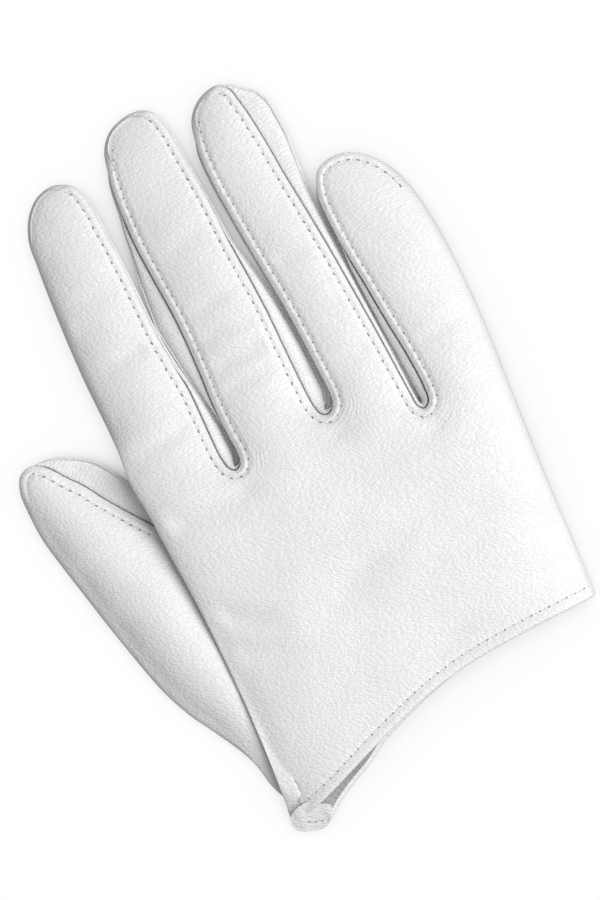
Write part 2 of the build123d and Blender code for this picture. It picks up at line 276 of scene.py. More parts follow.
def thin_out(points, taken, gap):
    """The points that keep this gap from those already taken."""
    tree = tree_of(taken)
    return np.array([p for p in points if tree.find((p[0], p[1], 0))[2] > gap]).reshape(-1, 2)


def fill(loop, rows, spacing, inside):
    """Points and triangles that fill a loop. The loop's points come first."""
    points = loop
    for row in rows:
        keep = row[inside(row) > 0.25]
        points = np.vstack([points, thin_out(keep, points, 0.3)])
    low, high = loop.min(0), loop.max(0)
    lines = np.arange(low[1], high[1], spacing * math.sqrt(0.75))
    across = np.arange(low[0], high[0], spacing)
    grid = np.array([(x + (n % 2) * spacing / 2, y) for n, y in enumerate(lines) for x in across])
    grid = grid[inside(grid) > spacing * 0.45]
    points = np.vstack([points, thin_out(grid, points, spacing * 0.6)])
    edges = [(i, (i + 1) % len(loop)) for i in range(len(loop))]
    made = geometry.delaunay_2d_cdt([Vector(p) for p in points], edges, [], 1, 1e-6)
    if len(made[0]) != len(points):
        raise RuntimeError(f"an outline crosses itself: {len(points)} points became {len(made[0])}")
    return points, np.array(made[2], int)


def relax(points, tris, heights, fixed, reach):
    """Heights that leave the fixed values and settle to the given ones within about this reach."""
    a, b, c = (points[tris[:, k]] for k in range(3))
    area = np.abs((b[:, 0] - a[:, 0]) * (c[:, 1] - a[:, 1]) - (b[:, 1] - a[:, 1]) * (c[:, 0] - a[:, 0])) / 2
    area = np.maximum(area, 1e-6)
    pairs, weights = [], []
    for k in range(3):
        i, j, o = tris[:, k], tris[:, (k + 1) % 3], tris[:, (k + 2) % 3]
        cot = np.einsum("ij,ij->i", points[i] - points[o], points[j] - points[o]) / (2 * area)
        pairs.append(np.column_stack([i, j]))
        weights.append(np.clip(cot / 2, 0.0, 5.0))
    pairs, weights = np.vstack(pairs), np.concatenate(weights)
    n = len(points)
    mass = sum(np.bincount(tris[:, k], area / 3, n) for k in range(3)) / reach ** 2
    diagonal = mass + np.bincount(pairs[:, 0], weights, n) + np.bincount(pairs[:, 1], weights, n)
    free = np.ones(n)
    free[:len(fixed)] = 0

    def apply(z):
        flow = weights * (z[pairs[:, 0]] - z[pairs[:, 1]])
        return mass * z + np.bincount(pairs[:, 0], flow, n) - np.bincount(pairs[:, 1], flow, n)

    z = heights.copy()
    z[:len(fixed)] = fixed
    residual = (mass * heights - apply(z)) * free
    step = residual / diagonal
    score = residual @ step
    for _ in range(150):
        if score < 1e-9:
            break
        moved = apply(step) * free
        gain = score / (step @ moved)
        z += gain * step
        residual -= gain * moved
        ready = residual / diagonal
        new = residual @ ready
        step = ready + step * (new / score)
        score = new
    return z


# ---------------------------------------------------------------- the skin

class Skin:
    """Triangles with, at each point, where it lies on the outline and how it wrinkles."""

    def __init__(self):
        self.co, self.tri, self.near, self.ripple, self.flesh = [], [], [], [], []
        self.count = 0

    def add(self, co, tri, near, ripple=None, flesh=0):
        co = np.asarray(co, float)
        self.co.append(co)
        self.tri.append(np.asarray(tri, int) + self.count)
        self.near.append(np.asarray(near, int))
        self.ripple.append(np.zeros((len(co), 2)) if ripple is None else ripple)
        self.flesh.append(np.full(len(tri), flesh))
        self.count += len(co)

    def strip(self, rows, near, closed, ripple=None, flesh=0, flip=False):
        """Rows of points side by side: rows[k][i] is point i of row k."""
        rows = np.asarray(rows)
        depth, length = rows.shape[:2]
        last = length if closed else length - 1
        k, i = np.meshgrid(np.arange(depth - 1), np.arange(last), indexing="ij")
        k, i = k.ravel(), i.ravel()
        j = (i + 1) % length
        a, b, c, d = k * length + i, k * length + j, (k + 1) * length + j, (k + 1) * length + i
        tri = np.vstack([np.column_stack([a, b, c]), np.column_stack([a, c, d])])
        if flip:
            tri = tri[:, ::-1]
        self.add(rows.reshape(-1, 3), tri, np.tile(near, depth), ripple, flesh)

    def joined(self):
        """All points and triangles, with points at one place made one."""
        co, tri = np.vstack(self.co), np.vstack(self.tri)
        near, ripple = np.concatenate(self.near), np.vstack(self.ripple)
        flesh = np.concatenate(self.flesh)
        keys = np.round(co / 0.02).astype(np.int64)
        _, first, back = np.unique(keys, axis=0, return_index=True, return_inverse=True)
        tri = back.reshape(-1)[tri]
        good = (tri[:, 0] != tri[:, 1]) & (tri[:, 1] != tri[:, 2]) & (tri[:, 0] != tri[:, 2])
        return co[first], tri[good], near[first], ripple[first], flesh[good]


def curve(p0, p1, p2, p3, count):
    """Points of cubic curves: each p is (u, z) with one value for each outline point."""
    t = np.linspace(0, 1, count)[:, None]
    parts = [(1 - t) ** 3, 3 * t * (1 - t) ** 2, 3 * t * t * (1 - t), t ** 3]
    u = sum(w * np.asarray(p[0]) for w, p in zip(parts, (p0, p1, p2, p3)))
    z = sum(w * np.asarray(p[1]) for w, p in zip(parts, (p0, p1, p2, p3)))
    return u, z


def placed(outline, u, z):
    """Rows of points from their distance outwards and their height."""
    return np.array([np.column_stack([outline.moved(row), height]) for row, height in zip(u, z)])


# A cut edge's section: how far on past the back's edge, and how far in
RIM = [(0, 0), (0.1, 0.12), (0.14, 0.35), (0.08, 0.62), (-0.3, 0.75), (-1.0, 0.75), (-1.9, 0.75)]


def sides(outline, skin, top_z, warp_back, warp_palm):
    """The strips that roll round the sides, from the back sheet's edge to the palm sheet's."""
    o, n = outline, len(outline.xy)
    near = np.arange(n)
    waist = o.low + (top_z - o.low) * o.waist
    end_u, end_z = o.edge * o.lap, (1 - o.edge) * (top_z - 0.3) + o.edge * waist
    on_u, on_z = (1 - o.edge) * 0.8, -((1 - o.edge) * 0.6 + o.edge)
    size = np.hypot(on_u, on_z)
    on_u, on_z = on_u / size, on_z / size
    in_u, in_z = on_z, -on_u
    lead = (o.inset + end_u) * 0.55
    tail = (1 - o.edge) * 0.15 + o.edge * (top_z - waist) * 0.5
    u, z = curve((-o.inset, top_z), (-o.inset + lead, top_z - lead * o.drop / RELAX),
                 (end_u - on_u * tail, end_z - on_z * tail), (end_u, end_z), 8)
    back_rows = placed(o, u, z)
    skin.strip(warp_back(back_rows), near, o.closed)
    rim_u = [end_u + o.rim * (on_u * a + in_u * b) for a, b in RIM]
    rim_z = [end_z + o.rim * (on_z * a + in_z * b) for a, b in RIM]
    skin.strip(warp_back(placed(o, rim_u, rim_z)), near, o.closed)
    # the palm's own roll, up behind the back's edge or up to the strip between the fingers
    flare = o.flare * (1 - o.wrap)
    tucked_u = end_u + o.rim * (0.8 * in_u - 0.6 * on_u)
    tucked_z = end_z + o.rim * (0.8 * in_z - 0.6 * on_z)
    top_u = o.wrap * tucked_u + (1 - o.wrap) * (flare + 0.25)
    top = o.wrap * tucked_z + (1 - o.wrap) * 2.5
    start_u = flare - o.base
    bulge = o.wrap * (end_u + 0.5 * o.rim * (1 - o.edge)) + (1 - o.wrap) * (flare + 0.25)
    pu, pz = curve((start_u, o.low + 0.02), (start_u + o.base * 0.62, o.low + 0.02),
                   (bulge, o.low + (top - o.low) * 0.5), (top_u, top), 9)
    palm_rows = placed(o, pu, pz)
    skin.strip(warp_palm(palm_rows), near, o.closed, flip=True)
    turned = [(top_u - a * (1 - o.wrap), top + b * (1 - o.wrap))
              for a, b in ((0, 0), (0.05, 0.14), (0.3, 0.2), (0.62, 0.05), (0.8, -0.7))]
    skin.strip(warp_palm(placed(o, *zip(*turned))), near, o.closed, flip=True)
    # the strip between the fingers
    puff = np.minimum(flare, 1.2) * 0.5
    near_edge = np.minimum(flare, 1)
    wu, wz = curve((0.6 * near_edge, top_z - 1.1), (0.6 * near_edge + 0.45 * flare, top_z - 1.2),
                   (flare + puff, 3.0 + 0.4 * (top_z - 3.0)), (flare - 0.45, 1.2 + 0 * flare), 12)
    start = np.array([(-1.3, -1.9), (-0.25, -2.0), (0.15, -1.8), (0.4, -1.35)])
    wu = np.vstack([start[:, :1] * np.where(start[:, :1] > 0, near_edge, 1), wu])
    wz = np.vstack([start[:, 1:] + top_z, wz])
    wu = wu - 0.9 * o.wrap - 0.15 - 0.35 * (1 - near_edge)
    keep = np.where(o.wrap < 0.98)[0]
    for group in np.split(keep, np.where(np.diff(keep) > 1)[0] + 1):
        if len(group) < 3:
            continue
        rows = placed(o, wu, wz)[:, group]
        along = np.tile(o.run[group], len(wu))
        ripple = np.column_stack([along, np.full(len(along), 0.22)])
        skin.strip(warp_palm(rows), near[group], False, ripple)
    ends = [[rows[:, at, axis] for axis in (2, 0) for rows in (back_rows, palm_rows)] for at in (0, -1)]
    return start_u, ends


# ---------------------------------------------------------------- the hand

def hem_line(points):
    """The y of a hem at any x."""
    path = spline([(x, y) for x, y in points], step=0.5)
    order = np.argsort(path[:, 0])
    return lambda x: np.interp(x, path[order, 0], path[order, 1])


BACK_EDGE, PALM_EDGE = hem_line(BACK_HEM), hem_line(PALM_HEM)
HEM_INSET = 2.05
# The hem's section: how far up from its edge, and how far in from the outer skin
HEM_ROLL = [(0.0, 0.0), (-0.3, 0.08), (-0.55, 0.35), (-0.62, 0.75), (-0.5, 1.15), (-0.1, 1.45), (0.6, 1.6)]
HEM_INSIDE = [(0.6, 1.6), (2.5, 1.6), (4.8, 1.65), (5.3, 1.5), (5.5, 1.05), (7.0, 0.95), (11, 0.95),
              (16, 0.95), (22, 0.95), (28, 0.95), (34, 0.95)]


def spaced(path, first, spare, look):
    """Stitch centres along a path and the way it runs, judged this far ahead."""
    run = run_of(path)
    at = np.arange(first, run[-1] - spare, STITCH_PITCH)
    spots, ahead = (np.column_stack([np.interp(at + further, run, path[:, k]) for k in range(2)])
                    for further in (0, look))
    return spots, ahead - spots


def hem_row():
    """The stitches along the back's hem."""
    x = np.linspace(-24.6, 54.8, 400)
    return spaced(np.column_stack([x, BACK_EDGE(x) + HEM_INSET]), 0, 0, 0.4)


def add_hem(skin, wall_ends, top_x, top_z, low_x, back_sheet, palm_sheet):
    """The hem's rolled edge, its turning and the flesh side of the leather inside the wrist."""
    (left_back_z, left_palm_z, left_back_x, left_palm_x), right = wall_ends
    right_back_z, right_palm_z, right_back_x, right_palm_x = right
    # once round the mouth: up the fold, across the back, down the side seam, back across the palm
    x = np.concatenate([left_palm_x[:-1], left_back_x[::-1], top_x[::-1], right_back_x,
                        right_palm_x[::-1][1:], low_x])
    z = np.concatenate([left_palm_z[:-1], left_back_z[::-1], top_z[::-1], right_back_z,
                        right_palm_z[::-1][1:], np.full(len(low_x), UNDERSIDE)])
    hem_y = PALM_EDGE(x)
    first = len(left_palm_x) - 1
    on_back = slice(first, first + len(left_back_x) + len(top_x) + len(right_back_x))
    hem_y[on_back] = BACK_EDGE(x[on_back])
    tangent = np.column_stack([np.roll(x, -3) - np.roll(x, 3), np.roll(z, -3) - np.roll(z, 3)])
    tangent /= np.maximum(np.linalg.norm(tangent, axis=1), 1e-9)[:, None]
    inwards = np.column_stack([tangent[:, 1], -tangent[:, 0]])
    sheets = [(tree_of(sheet), sheet[:, 2]) for sheet in (palm_sheet, back_sheet)]

    def row(up, in_by):
        rx, rz, ry = x + inwards[:, 0] * in_by, z + inwards[:, 1] * in_by, hem_y + up
        if up > 2:
            clear = 2.0 * ramp(up, 1, 3) + 1.8 * ramp(up, 4, 10)
            rx = np.clip(rx, x.min() + in_by + clear, x.max() - in_by - clear)
            for i in range(len(rx)):
                low, high = (heights[tree.find((rx[i], ry[i], 0))[1]] for tree, heights in sheets)
                gap = min(0.8, 0.35 * (high - low))
                rz[i] = min(max(rz[i], low + gap), high - gap)
        return np.column_stack([rx, ry, rz])

    near = np.zeros(len(x), int)
    skin.strip([row(*p) for p in HEM_ROLL], near, True, flip=True)
    # the flesh side inside the wrist: its grey is partly painted shade of the glove's inside
    inner = [row(*p) for p in HEM_INSIDE]
    skin.strip(inner, near, True, flesh=1, flip=True)
    end = inner[-1]
    middle = end.mean(axis=0)
    count = len(end)
    fan = np.column_stack([np.arange(count), (np.arange(count) + 1) % count, np.full(count, count)])
    skin.add(np.vstack([end, middle]), fan, np.zeros(count + 1), flesh=1)


def bent(hem):
    """Bends the straight wrist line to a hem, and lets the bend fade out up the hand."""
    def warp(points):
        points = np.array(points, float)
        x, y = points[..., 0], points[..., 1]
        points[..., 1] = y + (hem(x) - WRIST) * (1 - ramp(y, WRIST, WRIST_BLEND))
        return points
    return warp


def crown(x, y):
    """Height of the back away from the edges. x and y are arrays, before the wrist line is bent."""
    z = 9.5 - 2.2 * ramp(-y, 30, 68) - 2.4 * ramp(y, 25, 84)
    z = z + 2.1 * hill(x, y, -30, -22, 13, 34) + 0.5 * hill(x, y, 12, -15, 30, 26)
    z = z + 0.6 * waves(x, y, 26, 7) + 0.45 * waves(x, y, 12, 3) + 0.1 * waves(x, y, 4.5, 5)
    return z


# soft folds across the fingers and the hand: centre, half length, half width, turn in degrees, depth
FOLDS = [(1, 17.5, 7, 1.9, 4, 0.45), (2, 23.5, 8, 2.4, 2, 0.85), (0, 30, 7, 1.8, -4, 0.5),
         (0, 37, 6, 1.8, 8, 0.4), (-22, -30, 8, 2.2, -28, 0.65), (-19, -38, 8, 2.0, -20, 0.5),
         (-20, 12, 7, 2.2, 10, 0.5), (27, 14, 6, 2.0, -6, 0.4), (47, 12, 6, 2.0, 8, 0.4),
         (-20, 33, 7, 2.4, 5, 0.6), (-23, -8, 9, 3.0, -12, 0.6), (10, -9, 12, 3.4, -10, 0.45),
         (20, 40, 6, 1.9, -6, 0.4), (-24, 48, 6, 2.2, -8, 0.4), (0, 52, 6, 2.2, 10, 0.35),
         (8, -34, 16, 4.4, 24, 0.5)]


def folds(x, y):
    """Height of the soft folds and of the faint unevenness between them."""
    z = 0.09 * waves(x, y, 8, 11) + 0.03 * waves(x, y, 4, 12)
    for cx, cy, half_length, half_width, turn, depth in FOLDS:
        z = z - depth * hill(x, y, cx, cy, half_length, half_width, turn)
    return z


def slit_ripples(x, y):
    """Fine wrinkles round the slit bottoms: how far along a wrinkle's pattern, and how strong."""
    best_phase, best = np.zeros_like(x), np.zeros_like(x)
    for cx, cy in SLIT_POINTS:
        away = np.hypot(x - cx, (y - cy - 3.0) * 0.9)
        strength = np.exp(-((away - 6.0) / 3.4) ** 2) * ramp(-(y - cy), -6, 1)
        better = strength > best
        best_phase = np.where(better, away, best_phase)
        best = np.where(better, strength, best)
    return np.column_stack([best_phase, best])


def seam_relief(inside, seam):
    """The groove of a stitch row and the raised lip between it and the cut edge."""
    groove = -0.2 * np.exp(-((inside - STITCH_INSET) / 0.42) ** 2)
    lip = 0.14 * np.exp(-((inside - 0.95) / 0.42) ** 2)
    return (groove + lip) * seam


def stitch_spots(outline, start, end, inset):
    """Stitch centres and directions along the outline, at this inset."""
    return spaced(outline.moved(-inset)[outline.at(start):outline.at(end)], 0.6, 0.5, 0.5)


def puckers(points, spots):
    """Small dimples at the stitches."""
    tree = tree_of(spots)
    far = np.array([tree.find((x, y, 0))[2] for x, y in points])
    return -0.13 * np.exp(-(far / 0.55) ** 2) + 0.05 * np.exp(-((far - 1.15) / 0.5) ** 2)


def closing(row, gap):
    """Points that close the wrist's side of a sheet, from the row's end to its start."""
    return np.linspace(row[-1], row[0], int(abs(row[-1][0] - row[0][0]) / gap))[1:-1]


def back_sheet(o, across, lowest):
    """Points and triangles of an upper sheet, with rows of points that follow its stitches."""
    def inside(points):
        near, depth = o.nearest(points)
        return np.minimum(depth - o.inset[near], points[:, 1] - lowest)

    rows = [o.moved(-o.inset - d)[o.groove > 0.3] for d in (0.36, 0.72, 1.08, 1.44, 1.8, 2.2, 2.7)]
    if len(across):
        rows.append(np.column_stack([across[:, 0], across[:, 1] + 0.9]))
    return fill(np.vstack([o.moved(-o.inset), across]), rows, GRID, inside)


def add_palm(skin, o, start_u, across, lowest, warp):
    """Adds the sheet below, inside where the palm's strip starts to roll up."""
    def inside(points):
        near, depth = o.nearest(points)
        return np.minimum(depth + start_u[near], points[:, 1] - lowest)

    points, tris = fill(np.vstack([o.moved(start_u), across]), [], PALM_GRID, inside)
    z = relax(points, tris, np.full(len(points), UNDERSIDE), o.low + UNDERSIDE, PALM_REACH)
    sheet = warp(np.column_stack([points, z]))
    skin.add(sheet, up_facing(points, tris, -1), o.nearest(points)[0])
    return sheet


def make_hand():
    """The skin of the hand and fingers, its outline and its stitches' plan positions."""
    o = Outline(HAND_SPANS, closed=False)
    top = o.moved(-o.inset)
    across = closing(top, STEP)
    points, tris = back_sheet(o, across, WRIST)
    near, depth = o.nearest(points)
    x, y = points[:, 0], points[:, 1]
    heights = crown(x, y)
    z = relax(points, tris, heights, heights[:len(top)] - o.drop, RELAX)
    top_z = z[:len(top)].copy()
    stitch_rows = [stitch_spots(o, start, end, STITCH_INSET) for start, end in STITCH_ROWS]
    spots, ways = (np.vstack([row[k] for row in stitch_rows]) for k in range(2))
    hem_spots, hem_ways = hem_row()
    flat_spots = np.column_stack([hem_spots[:, 0], np.full(len(hem_spots), WRIST + HEM_INSET)])
    detail = seam_relief(depth, o.groove[near]) + puckers(points, np.vstack([spots, flat_spots]))
    up = y - WRIST
    detail += -0.22 * np.exp(-((up - HEM_INSET) / 0.5) ** 2) + 0.2 * np.exp(-((up - 0.9) / 0.5) ** 2)
    ripple = slit_ripples(x, y)
    detail += 0.03 * ripple[:, 1] * np.sin(ripple[:, 0] * 2 * math.pi / 1.5 + 4 * waves(x, y, 5, 8))
    ripple[:, 1] *= 0.3 * (0.5 + waves(x, y, 6, 9) ** 2)
    for cx, cy in SLIT_POINTS:
        detail -= 0.4 * hill(x, y, cx + 0.5, cy - 4.6, 3.6, 2.2) * ramp(depth, 0.5, 3)
    detail += folds(x, y) * ramp(depth, 1.5, 6) * ramp(up, 2, 7)
    detail[:len(top)] = 0
    z = z + detail
    warp_back, warp_palm = bent(BACK_EDGE), bent(PALM_EDGE)
    sheet = warp_back(np.column_stack([points, z]))
    skin = Skin()
    skin.add(sheet, up_facing(points, tris, 1), near, ripple)
    start_u, wall_ends = sides(o, skin, top_z, warp_back, warp_palm)
    across_low = closing(o.moved(start_u), 0.8)
    palm = add_palm(skin, o, start_u, across_low, WRIST, warp_palm)
    line = slice(len(top), len(top) + len(across))
    add_hem(skin, wall_ends, points[line][:, 0], z[line], across_low[:, 0], sheet, palm)
    return o, skin, (spots, ways), (hem_spots, hem_ways)


def up_facing(points, tris, side):
    """The triangles turned to face up (1) or down (-1)."""
    a, b, c = (points[tris[:, k]] for k in range(3))
    turn = (b[:, 0] - a[:, 0]) * (c[:, 1] - a[:, 1]) - (b[:, 1] - a[:, 1]) * (c[:, 0] - a[:, 0])
    return np.where((turn * side > 0)[:, None], tris, tris[:, ::-1])


# ---------------------------------------------------------------- the thumb

def thumb_crown(x, y):
    """Height of the thumb away from its edges: a ridge, and a valley beside the hand."""
    z = 8.8 - 0.9 * ramp(y, -10, 18) - 3.2 * ramp(-y, 40, 74)
    ridge_x = -40.5 - 0.36 * (y + 22)
    z = z - 2.6 * ramp(x - ridge_x, 2, 13) - 1.5 * ramp(ridge_x - x, 0, 9)
    z = z + (0.22 + 0.2 * ramp(x - ridge_x, 3, 9)) * waves(x, y, 7, 21)
    z = z + (0.08 + 0.14 * ramp(x - ridge_x, 3, 9)) * waves(x, y, 3.2, 23)
    return z


def make_thumb():
    """The skin of the thumb, its outline and its stitches' plan positions."""
    o = Outline(THUMB_SPANS, closed=True)
    none, no_floor = np.empty((0, 2)), -math.inf
    points, tris = back_sheet(o, none, no_floor)
    near, depth = o.nearest(points)
    count = len(o.xy)
    heights = thumb_crown(points[:, 0], points[:, 1])
    z = relax(points, tris, heights, heights[:count] - o.drop, THUMB_RELAX)
    top_z = z[:count].copy()
    spots, ways = stitch_spots(o, THUMB_TIP[1][:2], THUMB_SEAM[-1][:2], 2.1)
    detail = seam_relief(depth, o.groove[near]) + puckers(points, spots)
    detail[:count] = 0
    skin = Skin()
    skin.add(np.column_stack([points, z + detail]), up_facing(points, tris, 1), near)
    start_u, _ = sides(o, skin, top_z, np.array, np.array)
    add_palm(skin, o, start_u, none, no_floor, np.array)
    return o, skin, (spots, ways)


# ---------------------------------------------------------------- materials

class Material:
    """A new node material, its nodes and its shader."""

    def __init__(self, name):
        self.made = bpy.data.materials.new(name)
        self.made.use_nodes = True
        self.nodes, self.links = self.made.node_tree.nodes, self.made.node_tree.links
        self.shader = self.nodes["Principled BSDF"]
        # where a point is when nothing is bent, in millimetres, so that the grain moves with it
        self.place = self.attribute("rest")

    def attribute(self, name):
        node = self.nodes.new("ShaderNodeAttribute")
        node.attribute_name = name
        return node.outputs["Vector"]

    def texture(self, kind, vector, out, **values):
        """An output of a texture node, with these values on its sockets."""
        node = self.nodes.new(kind)
        for socket, value in values.items():
            node.inputs[socket].default_value = value
        self.links.new(vector, node.inputs["Vector"])
        return node.outputs[out]

    def noise(self, scale, detail, vector=None):
        return self.texture("ShaderNodeTexNoise", vector or self.place, "Fac", Scale=scale, Detail=detail)

    def maths(self, kind, a, b):
        node = self.nodes.new("ShaderNodeMath")
        node.operation = kind
        for socket, value in zip(node.inputs, (a, b)):
            if isinstance(value, (int, float)):
                socket.default_value = value
            else:
                self.links.new(value, socket)
        return node.outputs[0]

    def tint(self, fac, dark, pale):
        """The base colour, between two colours."""
        blend = self.nodes.new("ShaderNodeMix")
        blend.data_type = "RGBA"
        blend.inputs["A"].default_value = (*dark, 1)
        blend.inputs["B"].default_value = (*pale, 1)
        self.links.new(fac, blend.inputs["Factor"])
        self.links.new(blend.outputs["Result"], self.shader.inputs["Base Color"])

    def bump(self, relief, height):
        bump = self.nodes.new("ShaderNodeBump")
        bump.inputs["Distance"].default_value = height * MM
        bump.inputs["Strength"].default_value = 1.0
        self.links.new(relief, bump.inputs["Height"])
        self.links.new(bump.outputs["Normal"], self.shader.inputs["Normal"])


def leather_material(name, colour, shade, grain, rough):
    """Pebbled smooth leather with fine creases. grain is the height of the pebbles in millimetres."""
    m = Material(name)
    m.shader.inputs["Roughness"].default_value = rough
    m.shader.inputs["Specular IOR Level"].default_value = 0.4
    m.shader.inputs["Sheen Weight"].default_value = 0.12
    m.shader.inputs["Sheen Roughness"].default_value = 0.4

    # pebbles drawn out along a direction that wanders over the hide
    wander = m.texture("ShaderNodeTexNoise", m.place, "Color", Scale=0.06, Detail=2.0)
    shift = m.nodes.new("ShaderNodeVectorMath")
    shift.operation = "MULTIPLY_ADD"
    m.links.new(wander, shift.inputs[0])
    shift.inputs[1].default_value = (5, 5, 0)
    m.links.new(m.place, shift.inputs[2])
    mapping = m.nodes.new("ShaderNodeMapping")
    mapping.vector_type = "TEXTURE"
    mapping.inputs["Rotation"].default_value = (0, 0, math.radians(-20))
    mapping.inputs["Scale"].default_value = (0.95, 0.42, 0.6)
    m.links.new(shift.outputs[0], mapping.inputs["Vector"])
    drawn = mapping.outputs[0]
    cells = m.nodes.new("ShaderNodeTexVoronoi")
    cells.feature = "SMOOTH_F1"
    cells.inputs["Scale"].default_value = 1.0
    cells.inputs["Smoothness"].default_value = 0.35
    m.links.new(drawn, cells.inputs["Vector"])
    relief = m.maths("MULTIPLY", cells.outputs["Distance"], -1.1)
    relief = m.maths("ADD", relief, m.maths("MULTIPLY", m.noise(1.7, 3.0, drawn), 0.5))
    relief = m.maths("ADD", relief, m.maths("MULTIPLY", m.noise(0.5, 2.0), 0.5))
    # the fine wrinkles that the mesh carries: how far along, and how strong
    split = m.nodes.new("ShaderNodeSeparateXYZ")
    m.links.new(m.attribute("ripple"), split.inputs[0])
    phase = m.maths("MULTIPLY", split.outputs[0], 6.8)
    phase = m.maths("ADD", phase, m.maths("MULTIPLY", m.noise(0.5, 2.0), 9.0))
    lines = m.maths("MULTIPLY", m.maths("SINE", phase, 0.0), split.outputs[1])
    m.bump(m.maths("ADD", relief, m.maths("MULTIPLY", lines, 0.7)), grain)
    fac = m.maths("MULTIPLY", m.noise(0.05, 3.0), 0.9)
    m.tint(m.maths("ADD", fac, m.maths("MULTIPLY", m.noise(1.4, 3.0), 0.35)), shade, colour)
    return m.made


def thread_material():
    m = Material("thread")
    twist_and_groove_shade = m.texture("ShaderNodeTexWave", m.place, "Fac", Scale=2.2, Distortion=0.6)
    # the thread is coloured darker where its twist is low: painted shade in the twist's grooves
    m.tint(twist_and_groove_shade, (0.74, 0.73, 0.71), (0.88, 0.87, 0.85))
    m.shader.inputs["Roughness"].default_value = 0.6
    m.bump(twist_and_groove_shade, 0.05)
    return m.made


# The needle holes are dark dots of painted shade: a dark colour that stands in for the shade inside each
# hole
def hole_shade_material():
    m = Material("needle_hole_painted_shade")
    m.tint(m.noise(0.4, 2.0), (0.13, 0.125, 0.12), (0.42, 0.41, 0.4))
    m.shader.inputs["Roughness"].default_value = 0.9
    return m.made


LEATHER = leather_material("leather", (0.88, 0.875, 0.865), (0.80, 0.795, 0.79), 0.14, 0.36)
# the flesh side's grey is partly the leather's fibrous flesh side and partly painted shade of the glove's
# inside at the wrist
FLESH_WITH_PAINTED_SHADE = leather_material("leather_flesh_side_painted_shade", (0.52, 0.51, 0.50), (0.26, 0.255, 0.25), 0.3, 0.95)
THREAD, HOLE_SHADE = thread_material(), hole_shade_material()


# ---------------------------------------------------------------- meshes

def make_piece(name, co, tri, ripple, which, normals=None, materials=None):
    """A piece in metres, with its rest position kept for the grain. which: the material of each face."""
    used, back = np.unique(tri, return_inverse=True)
    tri, co, ripple = back.reshape(tri.shape), co[used], ripple[used]
    mesh = bpy.data.meshes.new(name)
    mesh.vertices.add(len(co))
    mesh.vertices.foreach_set("co", (co * MM).astype(np.float32).ravel())
    mesh.loops.add(len(tri) * 3)
    mesh.loops.foreach_set("vertex_index", tri.astype(np.int32).ravel())
    mesh.polygons.add(len(tri))
    mesh.polygons.foreach_set("loop_start", np.arange(0, len(tri) * 3, 3, dtype=np.int32))
    for used_material in materials or (LEATHER, FLESH_WITH_PAINTED_SHADE):
        mesh.materials.append(used_material)
    mesh.polygons.foreach_set("material_index", which.astype(np.int32))
    mesh.update(calc_edges=True)
    rest = mesh.attributes.new("rest", "FLOAT_VECTOR", "POINT")
    rest.data.foreach_set("vector", co.astype(np.float32).ravel())
    wrinkles = mesh.attributes.new("ripple", "FLOAT_VECTOR", "POINT")
    wrinkles.data.foreach_set("vector", np.pad(ripple, ((0, 0), (0, 1))).astype(np.float32).ravel())
    mesh.shade_smooth()
    if normals is not None:
        mesh.normals_split_custom_set_from_vertices(normals[used].tolist())
    piece = bpy.data.objects.new(name, mesh)
    bpy.context.scene.collection.objects.link(piece)
    return piece


def point_normals(co, tri):
    a, b, c = (co[tri[:, k]] for k in range(3))
    face = np.cross(b - a, c - a)
    total = np.zeros_like(co)
    for k in range(3):
        for axis in range(3):
            total[:, axis] += np.bincount(tri[:, k], face[:, axis], len(co))
    return total / np.maximum(np.linalg.norm(total, axis=1), 1e-12)[:, None]


class Bend:
    """A joint of the frame: where it is, which way its finger runs and the bodies it joins."""

    def __init__(self, body):
        joint = next(j for j in frame["joints"] if j["child"] == body)
        self.parent, self.child = joint["parent"], body
        self.at = np.array(joint["pos_m"][:2]) / MM
        axis = joint["axis"]
        self.way = np.array([axis[1], -axis[0]])

    def along(self, xy):
        return (xy - self.at) @ self.way

    def blend(self, piece, half):
        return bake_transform(piece)


def piece_starts(chain, half):
    """How far along a chain of joints each of its pieces starts."""
    places = [chain[0].along(bend.at) for bend in chain]
    return [-half - 0.3] + [(a + b) / 2 for a, b in zip(places, places[1:])]


def cut_up(skin, chains, owner, names, half):
    """Splits a skin into a piece that stays and one for each joint of each chain. Returns its mesh."""
    co, tri, near, ripple, flesh = skin.joined()
    normals = point_normals(co, tri)
    middle = co[tri].mean(axis=1)[:, :2]
    who = owner[near[tri[:, 0]]]
    label = np.full(len(tri), -1)
    plan = []
    for c, chain in enumerate(chains):
        along = chain[0].along(middle)
        limits = piece_starts(chain, half[c]) + [math.inf]
        for k, bend in enumerate(chain):
            mine = (who == c) & (along >= limits[k]) & (along < limits[k + 1])
            label[mine] = len(plan)
            plan.append((bend, names[c][k], half[c]))
    pieces = {None: make_piece(names[-1], co, tri[label < 0], ripple, flesh[label < 0], normals)}
    for k, (bend, name, reach) in enumerate(plan):
        pieces[name] = make_piece(name, co, tri[label == k], ripple, flesh[label == k], normals)
        bend.blend(pieces[name], reach)
    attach(pieces[None], "hand")
    return co, tri


# ---------------------------------------------------------------- stitches

def capsule(length, width, height):
    """A stitch along x: points and faces of a low rounded bar."""
    rings, sides_n = 7, 8
    co, tri = [], []
    for i in range(rings):
        t = -1 + 2 * i / (rings - 1)
        size = max(0.05, (1 - t ** 4) ** 0.5)
        for k in range(sides_n):
            a = 2 * math.pi * k / sides_n
            co.append((t * length / 2, math.cos(a) * width / 2 * size, math.sin(a) * height * size))
    for i in range(rings - 1):
        for k in range(sides_n):
            a, b = i * sides_n + k, i * sides_n + (k + 1) % sides_n
            tri += [(a, b, b + sides_n), (a, b + sides_n, a + sides_n)]
    for k in range(1, sides_n - 1):
        tri.append((0, k + 1, k))
        end = (rings - 1) * sides_n
        tri.append((end, end + k, end + k + 1))
    return np.array(co), np.array(tri)[:, ::-1]


